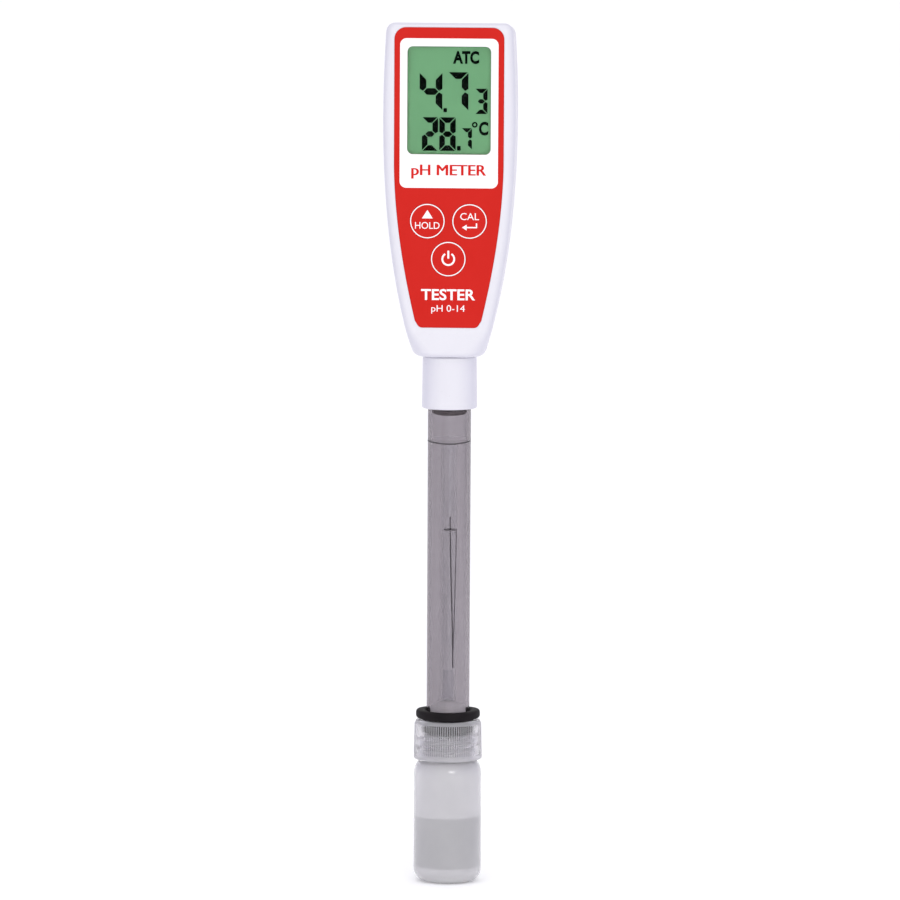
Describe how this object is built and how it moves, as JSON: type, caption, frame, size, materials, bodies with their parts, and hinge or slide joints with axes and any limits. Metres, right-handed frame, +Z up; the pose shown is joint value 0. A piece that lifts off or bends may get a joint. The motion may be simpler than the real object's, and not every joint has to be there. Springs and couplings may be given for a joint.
{
  "type": "pen-type digital pH meter",
  "caption": "Pen-type digital pH meter with a display, push keys and a clamped replaceable probe standing in its screw-capped storage bottle.",
  "frame": {"origin": "centre of the storage bottle's flat base, on the probe's axis", "axes": "+Z up along the probe's axis, -Y towards the display and keys, +X to the right as the display is read"},
  "size_m": [0.0368, 0.0247, 0.241],
  "materials": {
    "white_abs": "smooth white moulded ABS, softly glossy",
    "red_label": "red printed face film, satin",
    "clear_plastic": "clear moulded plastic",
    "display": "green-grey reflective display with dark segments",
    "smoky_plastic": "smoky grey translucent probe body",
    "glass": "thin clear glass",
    "milky_plastic": "milky translucent polyethylene",
    "black_rubber": "matt black rubber",
    "black_plastic": "matt black plastic",
    "grey_plastic": "grey plastic and elastomer",
    "steel": "plated steel",
    "gilt_brass": "gold-plated brass",
    "silver": "dull chlorided silver wire",
    "board": "green solder mask",
    "cell_jacket": "printed steel cell jacket",
    "liquid": "clear storage solution",
    "lead_jacket": "thin insulated lead"
  },
  "bodies": {
    "storage_bottle": {"storage_bottle": "milky_plastic", "storage_solution": "liquid"},
    "cap_grommet": {"cap_grommet": "black_rubber"},
    "storage_cap": {"storage_cap": "clear_plastic"},
    "electrode": {"electrode_tube": "smoky_plastic", "glass_bulb": "glass", "glass_stem": "glass", "inner_fill": "liquid", "silver_wire": "silver", "wire_disc": "grey_plastic", "reference_wire": "silver", "signal_lead": "lead_jacket", "tip_plug": "grey_plastic", "thermistor": "steel", "thermistor_lead": "lead_jacket", "seal_disc": "black_rubber", "electrode_plug": "black_plastic", "connector_pin": "gilt_brass", "collar_oring": "black_rubber"},
    "collar_nut": {"collar_nut": "white_abs"},
    "meter": {"front_shell": "white_abs", "rear_shell": "white_abs", "face_overlay": "red_label", "lcd_window": "clear_plastic", "lcd_panel": "display", "lcd_holder": "black_plastic", "zebra_strip_upper": "grey_plastic", "zebra_strip_lower": "grey_plastic", "main_pcb": "board", "controller_chip": "black_plastic", "amplifier_chip": "black_plastic", "switch_hold": "grey_plastic", "switch_cal": "grey_plastic", "switch_power": "grey_plastic", "sensor_socket": "black_plastic", "neck_bushing": "white_abs", "sensor_lead": "lead_jacket", "battery_tray": "black_plastic", "battery_left": "cell_jacket", "battery_right": "cell_jacket", "contact_plate": "steel", "contact_bridge": "steel", "contact_spring_lower": "steel", "contact_spring_upper": "steel", "shell_screw_1": "steel", "shell_screw_2": "steel", "shell_screw_3": "steel", "shell_screw_4": "steel"},
    "key_hold": {"key_hold": "red_label", "plunger_hold": "black_plastic"},
    "key_cal": {"key_cal": "red_label", "plunger_cal": "black_plastic"},
    "key_power": {"key_power": "red_label", "plunger_power": "black_plastic"},
    "battery_cover": {"battery_cover": "white_abs"}
  },
  "joints": [
    {"name": "cap_lift", "type": "slide", "parent": "storage_bottle", "child": "cap_grommet", "axis": [0, 0, 1], "range_m": [0, 0.0075]},
    {"name": "cap_turn", "type": "hinge", "parent": "cap_grommet", "child": "storage_cap", "pos_m": [0, 0, 0.0402], "axis": [0, 0, 1], "range_deg": [0, 1081]},
    {"name": "probe_draw", "type": "slide", "parent": "cap_grommet", "child": "electrode", "axis": [0, 0, 1], "range_m": [0, 0.042]},
    {"name": "probe_unplug", "type": "slide", "parent": "electrode", "child": "meter", "axis": [0, 0, 1], "range_m": [0, 0.009]},
    {"name": "collar_turn", "type": "hinge", "parent": "electrode", "child": "collar_nut", "pos_m": [0, 0, 0.1403], "axis": [0, 0, 1], "range_deg": [-1621, 0]},
    {"name": "hold_press", "type": "slide", "parent": "meter", "child": "key_hold", "axis": [0, 1, 0], "range_m": [0, 0.00035], "stiffness_N_per_m": 800, "springref_m": -0.0002},
    {"name": "cal_press", "type": "slide", "parent": "meter", "child": "key_cal", "axis": [0, 1, 0], "range_m": [0, 0.00035], "stiffness_N_per_m": 800, "springref_m": -0.0002},
    {"name": "power_press", "type": "slide", "parent": "meter", "child": "key_power", "axis": [0, 1, 0], "range_m": [0, 0.00035], "stiffness_N_per_m": 800, "springref_m": -0.0002},
    {"name": "battery_cover_slide", "type": "slide", "parent": "meter", "child": "battery_cover", "axis": [0, 0, 1], "range_m": [0, 0.052]}
  ],
  "couplings": [
    {"joint": "cap_turn", "follows": "cap_lift", "rad_per_m": 2513.3},
    {"joint": "collar_turn", "follows": "probe_unplug", "rad_per_m": -3141.6}
  ]
}
